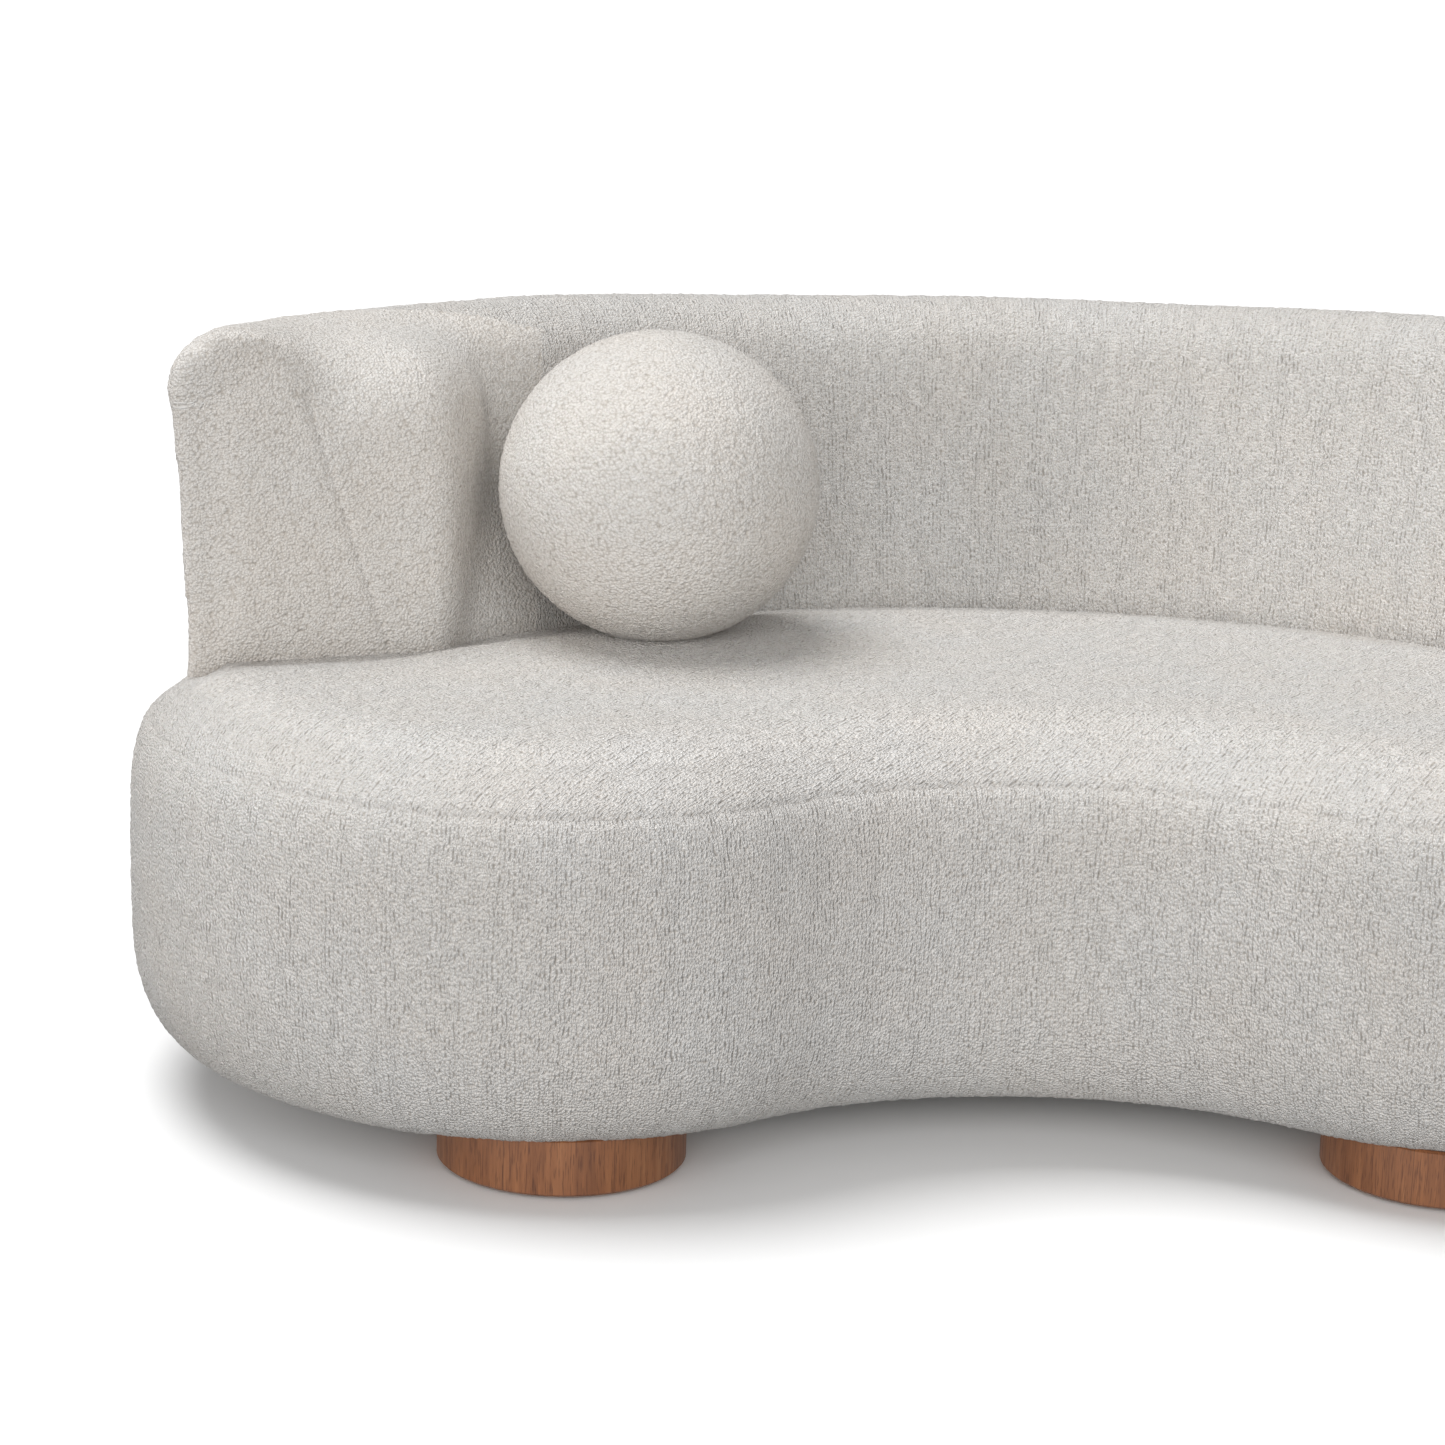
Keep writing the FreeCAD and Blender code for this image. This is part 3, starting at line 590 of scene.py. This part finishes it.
def wing_tip(side):
    """A block that thickens the wing's inner front corner before everything is smoothed together."""
    mesh = bmesh.new()
    levels = []
    for z, corners in WING_TIP:
        level = []
        for x, behind in corners:
            end_y = LOBE_Y + WING_REACH + (OUTER_X - x) * math.tan(WING_ANGLE)
            level.append(mesh.verts.new((side * x, end_y + behind, z)))
        levels.append(level)
    mesh.faces.new(levels[0])
    mesh.faces.new(levels[-1])
    for low, high in zip(levels, levels[1:]):
        for index in range(4):
            after = (index + 1) % 4
            mesh.faces.new((low[index], low[after], high[after], high[index]))
    bmesh.ops.recalc_face_normals(mesh, faces=mesh.faces)
    data = bpy.data.meshes.new("wing_tip")
    mesh.to_mesh(data)
    mesh.free()
    return data


def join_meshes(body, extras):
    """Add loose meshes to the body's own, for the remesh to fuse."""
    mesh = bmesh.new()
    mesh.from_mesh(body.data)
    for data in extras:
        mesh.from_mesh(data)
    mesh.to_mesh(body.data)
    mesh.free()


def build_back():
    """The back and both wings, run as cloth, smoothed at the tips and then cut into panels."""
    body = loft("back_body", back_columns())
    join_meshes(body, [wing_tip(1), wing_tip(-1)])
    remesh(body, 2 * VOXEL)
    swell(body, -0.001, 0.005)
    subdivide(body, 1)
    co = points_of(body)
    behind = behind_wing_end(co)
    near_end = 1 - smooth_step(behind, 0.17, 0.30)
    inner = smooth_step(inset_at(co) - BACK_INSET, 0.07, 0.15)
    at_top = smooth_step(co[:, 2], 0.60, 0.68)
    relax(body, 120, near_end * np.maximum(0.04, inner))
    relax(body, 200, near_end * inner * at_top)
    relax(body, 4)
    square_corners(body)
    shape_wings(body)
    nubs(body)
    centres = face_centres(body)
    depth = inset_at(centres) - BACK_INSET
    behind = behind_wing_end(centres)
    hidden = centres[:, 2] < BACK_LOW + 0.008
    end = (behind < 0.014) & (seam_side(centres) < 0) & (centres[:, 2] < 0.70) & ~hidden
    outside = (depth < 0.03) & (centres[:, 2] < BACK_TOP - 0.058) & ~end & ~hidden
    tip = (behind < TIP_REACH) & (np.abs(centres[:, 0]) > TIP_START_X) & ~end & ~hidden & ~outside
    inside = ~end & ~hidden & ~outside & ~tip
    made = split(
        body,
        {
            "inside_back_upholstery": inside,
            "outside_back_upholstery": outside,
            "wing_end_upholstery_left": end & (centres[:, 0] < 0),
            "wing_end_upholstery_right": end & (centres[:, 0] >= 0),
            "wing_tip_upholstery_left": tip & (centres[:, 0] < 0),
            "wing_tip_upholstery_right": tip & (centres[:, 0] >= 0),
        },
    )
    for name, piece in made.items():
        co = points_of(piece)
        if "wing" in name:
            continue
        if "outside" in name:
            lay_cloth(piece, girth_at(co, BACK_INSET), co[:, 2], mirrored=True)
        else:
            depth = inset_at(co) - BACK_INSET
            over = 1 - smooth_step(depth, 0.035, BACK_ROUND)
            height = co[:, 2] + 2 * (BACK_TOP - co[:, 2]) * over
            lay_cloth(piece, girth_at(co, BACK_INSET + 0.14), 1.2 * depth - height, mirrored=True)
    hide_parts("inside_back_cover", "back_inner_foam", "back_top_roll")
    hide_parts("outside_back_cover", "back_outer_foam")
    for side in ("left", "right"):
        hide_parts("wing_end_cover_" + side, "wing_end_foam_" + side)
    return made


def seam_side(co):
    """Distance of each point inwards from the slanting seam along the wing's end panel."""
    low, high = 0.438, 0.704
    part = (co[:, 2] - low) / (high - low)
    seam_x = 0.655 + 0.083 * part
    return seam_x - np.abs(co[:, 0])


def square_corners(body):
    """Fill out the wings' outer top corners again, which the smoothing wore down."""
    co = points_of(body)
    near_end = 1 - smooth_step(behind_wing_end(co), 0.02, 0.12)
    near_face = 1 - smooth_step(inset_at(co) - BACK_INSET, 0.03, 0.10)
    share = near_end * near_face * smooth_step(co[:, 2], 0.68, 0.74)
    put_points(body, co + normals_of(body) * (CORNER_FILL * share)[:, None])


def shape_wings(body):
    """Lay points along the end panel's seam, and pull it in."""
    co = points_of(body)
    front = (behind_wing_end(co) < 0.03) & (co[:, 2] < 0.71)
    away = seam_side(co)
    on_seam = front & (np.abs(away) < VOXEL / 2)
    co[:, 0] += np.where(on_seam, np.sign(co[:, 0]) * away, 0)
    groove = WING_SEAM_DEPTH * np.exp(-((seam_side(co) / WING_SEAM_WIDTH) ** 2)) * front
    co -= normals_of(body) * groove[:, None]
    put_points(body, co)


# ---- Ball pillow ----

BALL_VOXEL = 0.006
BALL_SHAPE = (1.012, 1, 0.985)


def build_ball():
    """The ball, run as cloth, a little wider than high, and flat where it rests."""
    low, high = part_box("ball_cover")
    middle = (low + high) / 2
    radius = (high.x - low.x) / 2
    mesh = bmesh.new()
    bmesh.ops.create_icosphere(mesh, subdivisions=5, radius=radius)
    data = bpy.data.meshes.new("ball_pillow")
    mesh.to_mesh(data)
    mesh.free()
    ball = link("ball_pillow_upholstery", data)
    remesh(ball, BALL_VOXEL)
    swell(ball, 0.002, 0.006)
    subdivide(ball, 1)
    co = points_of(ball)
    wide = radius / np.abs(co[:, 0]).max()
    co *= wide * np.array(BALL_SHAPE)
    co += np.array(middle)
    rest_z = low.z + 0.0005
    flat = rest_z + (co[:, 2] - rest_z) * 0.2 + 0.003
    co[:, 2] = np.where(co[:, 2] < rest_z + 0.004, flat, co[:, 2])
    put_points(ball, co)
    nubs(ball)
    ball.data.polygons.foreach_set("use_smooth", np.ones(len(ball.data.polygons), bool))
    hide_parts("ball_cover", "ball_filling")
    return ball


# ---- Materials ----

YARN_RELIEF = 0.0034
STAVES = 7


class Graph:
    """A material's nodes, made and linked in short calls."""

    def __init__(self, name):
        self.material = bpy.data.materials.new(name)
        self.material.use_nodes = True
        self.tree = self.material.node_tree
        self.shader = self.tree.nodes["Principled BSDF"]

    def node(self, kind, **settings):
        node = self.tree.nodes.new(kind)
        for key, value in settings.items():
            setattr(node, key, value)
        return node

    def link(self, start, end):
        self.tree.links.new(start, end)

    def place(self, scale=(1, 1, 1), shift=(0, 0, 0)):
        coordinates = self.node("ShaderNodeTexCoord")
        mapping = self.node("ShaderNodeMapping")
        mapping.inputs["Location"].default_value = shift
        mapping.inputs["Scale"].default_value = scale
        self.link(coordinates.outputs["Object"], mapping.inputs["Vector"])
        return mapping.outputs["Vector"]

    def noise(self, vector, scale, detail=2, roughness=0.5):
        node = self.node("ShaderNodeTexNoise")
        node.inputs["Scale"].default_value = scale
        node.inputs["Detail"].default_value = detail
        node.inputs["Roughness"].default_value = roughness
        self.link(vector, node.inputs["Vector"])
        return node.outputs["Fac"]

    def voronoi(self, vector, scale, spread=1.0, flat=False):
        node = self.node("ShaderNodeTexVoronoi", feature="F1")
        node.voronoi_dimensions = "2D" if flat else "3D"
        node.inputs["Scale"].default_value = scale
        node.inputs["Randomness"].default_value = spread
        self.link(vector, node.inputs["Vector"])
        return node

    def math(self, operation, first, second=None):
        node = self.node("ShaderNodeMath", operation=operation)
        for index, value in enumerate((first, second)):
            if value is None:
                continue
            if isinstance(value, (int, float)):
                node.inputs[index].default_value = value
            else:
                self.link(value, node.inputs[index])
        return node.outputs[0]

    def ramp(self, value, stops):
        node = self.node("ShaderNodeValToRGB")
        ramp = node.color_ramp
        while len(ramp.elements) < len(stops):
            ramp.elements.new(0.5)
        for element, (place, colour) in zip(ramp.elements, stops):
            element.position = place
            element.color = (*colour, 1)
        self.link(value, node.inputs["Fac"])
        return node.outputs["Color"]

    def mix(self, factor, one, other, kind="MIX"):
        node = self.node("ShaderNodeMix", data_type="RGBA", blend_type=kind)
        for socket, value in zip((node.inputs[0], node.inputs[6], node.inputs[7]), (factor, one, other)):
            if isinstance(value, (int, float)):
                socket.default_value = value
            elif isinstance(value, tuple):
                socket.default_value = (*value, 1)
            else:
                self.link(value, socket)
        return node.outputs[2]

    def bump(self, height, distance, strength=1.0):
        node = self.node("ShaderNodeBump")
        node.inputs["Distance"].default_value = distance
        node.inputs["Strength"].default_value = strength
        self.link(height, node.inputs["Height"])
        return node.outputs["Normal"]


def boucle(name, wide=0.0024, long=0.0040, row=0.0046, rows=0.4):
    """Looped cream yarn: nubs of wide by long metres, in rows of a given pitch and depth, with painted
    shade darkening the hollows between the loops.

    Without rows, the nubs don't use the cloth coordinates, as on the ball's gores.
    """
    graph = Graph(name)
    if rows:
        cloth = graph.node("ShaderNodeUVMap", uv_map="cloth").outputs["UV"]
        apart = graph.node("ShaderNodeSeparateXYZ")
        graph.link(cloth, apart.inputs[0])
        wander = graph.noise(graph.place(), 60, 1)
        across = graph.math("ADD", apart.outputs[0], graph.math("MULTIPLY", wander, 0.006))
        joined = graph.node("ShaderNodeCombineXYZ")
        graph.link(graph.math("MULTIPLY", across, 1 / wide), joined.inputs[0])
        graph.link(graph.math("MULTIPLY", apart.outputs[1], 1 / long), joined.inputs[1])
        loops = graph.voronoi(joined.outputs[0], 1.0, spread=0.9, flat=True)
        rows_across = graph.math("ADD", graph.math("MULTIPLY", across, 1 / row), 900.0)
        in_row = graph.math("FRACT", rows_across)
        valley = graph.math("MULTIPLY", graph.math("ABSOLUTE", graph.math("SUBTRACT", in_row, 0.5)), 2.0)
        ridge = graph.math("SUBTRACT", 1.0, graph.math("POWER", valley, 3.0))
    else:
        loops = graph.voronoi(graph.place(), 1 / math.sqrt(wide * long))
    hollow = loops.outputs["Distance"]
    fine = graph.noise(graph.place(), 1300, 2, 0.6)
    lumps = graph.noise(graph.place(), 150, 2)
    patch = graph.noise(graph.place(), 9, 2)
    crest, hollowness = (1.3, 1.2) if rows else (1.32, 0.9)
    height = graph.math("SUBTRACT", crest, graph.math("MULTIPLY", hollow, hollowness))
    if rows:
        height = graph.math("ADD", height, graph.math("MULTIPLY", ridge, rows))
    height = graph.math("ADD", height, graph.math("MULTIPLY", fine, 0.4))
    height = graph.math("ADD", height, graph.math("MULTIPLY", lumps, 0.5))
    # The nubs' height also sets the colour: cream on the loops, and darker in the hollows between them
    # as painted shade.
    hollow_shade_level = graph.math("MULTIPLY", height, 0.4)
    cream = graph.ramp(
        hollow_shade_level,
        [(0.34, (0.58, 0.53, 0.475)), (0.56, (0.83, 0.79, 0.745)), (0.80, (0.90, 0.878, 0.85))],
    )
    tint = graph.ramp(patch, [(0.3, (0.99, 0.995, 1.0)), (0.7, (1.0, 0.985, 0.97))])
    grey = graph.ramp(loops.outputs["Color"], [(0.0, (0.92, 0.915, 0.91)), (1.0, (1.0, 1.0, 1.0))])
    colour = graph.mix(1.0, graph.mix(1.0, cream, tint, "MULTIPLY"), grey, "MULTIPLY")
    graph.link(colour, graph.shader.inputs["Base Color"])
    graph.shader.inputs["Roughness"].default_value = 0.95
    graph.shader.inputs["Specular IOR Level"].default_value = 0.15
    graph.shader.inputs["Sheen Weight"].default_value = 0.12
    graph.shader.inputs["Sheen Roughness"].default_value = 0.5
    graph.link(graph.bump(height, YARN_RELIEF), graph.shader.inputs["Normal"])
    return graph.material


def walnut(name, middle):
    """Stained walnut staves round a drum: upright grain, pores and a fine joint between staves."""
    graph = Graph(name)
    centred = graph.place(shift=(-middle[0], -middle[1], 0))
    split_xyz = graph.node("ShaderNodeSeparateXYZ")
    graph.link(centred, split_xyz.inputs[0])
    angle = graph.math("ARCTAN2", split_xyz.outputs[1], split_xyz.outputs[0])
    turns = graph.math("MULTIPLY", angle, STAVES / (2 * math.pi))
    part = graph.math("FRACT", graph.math("ADD", turns, 10.27))
    stave = graph.math("FLOOR", graph.math("ADD", turns, 10.27))
    edge = graph.math("MINIMUM", part, graph.math("SUBTRACT", 1.0, part))
    joint = graph.ramp(edge, [(0.0, (0, 0, 0)), (0.006, (1, 1, 1))])
    grain_place = graph.place(scale=(1, 1, 0.12), shift=(-middle[0], -middle[1], 0))
    figure = graph.noise(grain_place, 26, 4, 0.6)
    streak = graph.noise(graph.place(scale=(1, 1, 0.05)), 190, 3, 0.6)
    pores = graph.noise(graph.place(scale=(1, 1, 0.06)), 620, 2, 0.7)
    shade = graph.math("ADD", graph.math("MULTIPLY", figure, 0.55), graph.math("MULTIPLY", streak, 0.45))
    brown = graph.ramp(
        shade,
        [(0.30, (0.120, 0.040, 0.014)), (0.52, (0.225, 0.085, 0.031)), (0.72, (0.33, 0.140, 0.055))],
    )
    dark = graph.ramp(pores, [(0.36, (0.55, 0.5, 0.48)), (0.47, (1, 1, 1))])
    number = graph.node("ShaderNodeTexWhiteNoise", noise_dimensions="1D")
    graph.link(stave, number.inputs["W"])
    each = graph.ramp(number.outputs["Value"], [(0.0, (0.86, 0.86, 0.86)), (1.0, (1.12, 1.1, 1.08))])
    line = graph.mix(1.0, each, graph.mix(joint, (0.35, 0.3, 0.28), (1, 1, 1)), "MULTIPLY")
    colour = graph.mix(1.0, graph.mix(1.0, brown, dark, "MULTIPLY"), line, "MULTIPLY")
    graph.link(colour, graph.shader.inputs["Base Color"])
    roughness = graph.ramp(streak, [(0.3, (0.5, 0.5, 0.5)), (0.7, (0.38, 0.38, 0.38))])
    graph.link(roughness, graph.shader.inputs["Roughness"])
    height = graph.math("ADD", graph.math("MULTIPLY", pores, 0.6), graph.math("MULTIPLY", streak, 0.4))
    graph.link(graph.bump(height, 0.0002, 0.6), graph.shader.inputs["Normal"])
    return graph.material


def plain(name, one, other, scale, roughness, stretch=(1, 1, 1), bump=0.0003):
    """A simple two-tone material for the pieces inside."""
    graph = Graph(name)
    grain = graph.noise(graph.place(scale=stretch), scale, 4, 0.6)
    graph.link(graph.ramp(grain, [(0.35, one), (0.65, other)]), graph.shader.inputs["Base Color"])
    graph.shader.inputs["Roughness"].default_value = roughness
    graph.link(graph.bump(grain, bump), graph.shader.inputs["Normal"])
    return graph.material


def paint(piece, material):
    piece.data.materials.clear()
    piece.data.materials.append(material)


def paint_cad():
    """Better materials for the CAD nodes that stay."""
    looks = {
        "felt": plain("wool_felt", (0.05, 0.045, 0.04), (0.09, 0.08, 0.07), 900, 0.95),
        "felt_pad": plain("needled_felt", (0.16, 0.155, 0.15), (0.32, 0.31, 0.3), 500, 0.95),
        "foam": plain("foam", (0.72, 0.66, 0.5), (0.82, 0.77, 0.62), 700, 0.9),
        "polyester_fill": plain("polyester_fill", (0.8, 0.8, 0.79), (0.9, 0.9, 0.89), 200, 0.95),
        "plywood": plain("birch_plywood", (0.5, 0.35, 0.19), (0.64, 0.47, 0.28), 30, 0.6, (1, 1, 0.1)),
        "pine": plain("softwood", (0.55, 0.38, 0.19), (0.7, 0.52, 0.3), 40, 0.6, (1, 1, 0.08)),
        "webbing": plain("elastic_webbing", (0.02, 0.018, 0.017), (0.05, 0.045, 0.04), 1200, 0.8),
        "lining": plain("dust_lining", (0.012, 0.012, 0.012), (0.035, 0.035, 0.035), 1500, 0.9),
        "zip_plastic": plain("zip_coil", (0.62, 0.59, 0.53), (0.76, 0.72, 0.66), 1500, 0.5),
        "zinc_steel": plain("zinc_steel", (0.4, 0.41, 0.42), (0.52, 0.53, 0.54), 400, 0.35),
    }
    looks["zinc_steel"].node_tree.nodes["Principled BSDF"].inputs["Metallic"].default_value = 1.0
    for entry in frame["record"]["subparts"]:
        node = frame["nodes"][entry["node"]]
        if entry["material_slot"] in looks:
            paint(node, looks[entry["material_slot"]])
        elif entry["material_slot"] == "stained_walnut":
            low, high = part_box(entry["node"])
            paint(node, walnut("walnut_" + entry["node"], (low + high) / 2))


# ---- The scene ----

add_camera()
add_stage()
paint_cad()
upright = boucle("boucle_upright_rows")
bias = boucle("boucle_bias_rows", 0.0026, 0.0038, 0.0046, 0.4)
plain_nubs = boucle("boucle_wings", 0.0026, 0.0032, rows=0)
pieces = build_seat()
pieces.update(build_back())
for name, piece in pieces.items():
    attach(piece, "sofa")
    if name == "seat_top_upholstery":
        paint(piece, bias)
    elif "wing" in name:
        paint(piece, plain_nubs)
    else:
        paint(piece, upright)
ball = build_ball()
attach(ball, "ball_pillow")
paint(ball, boucle("boucle_ball", 0.0028, 0.0034, rows=0))
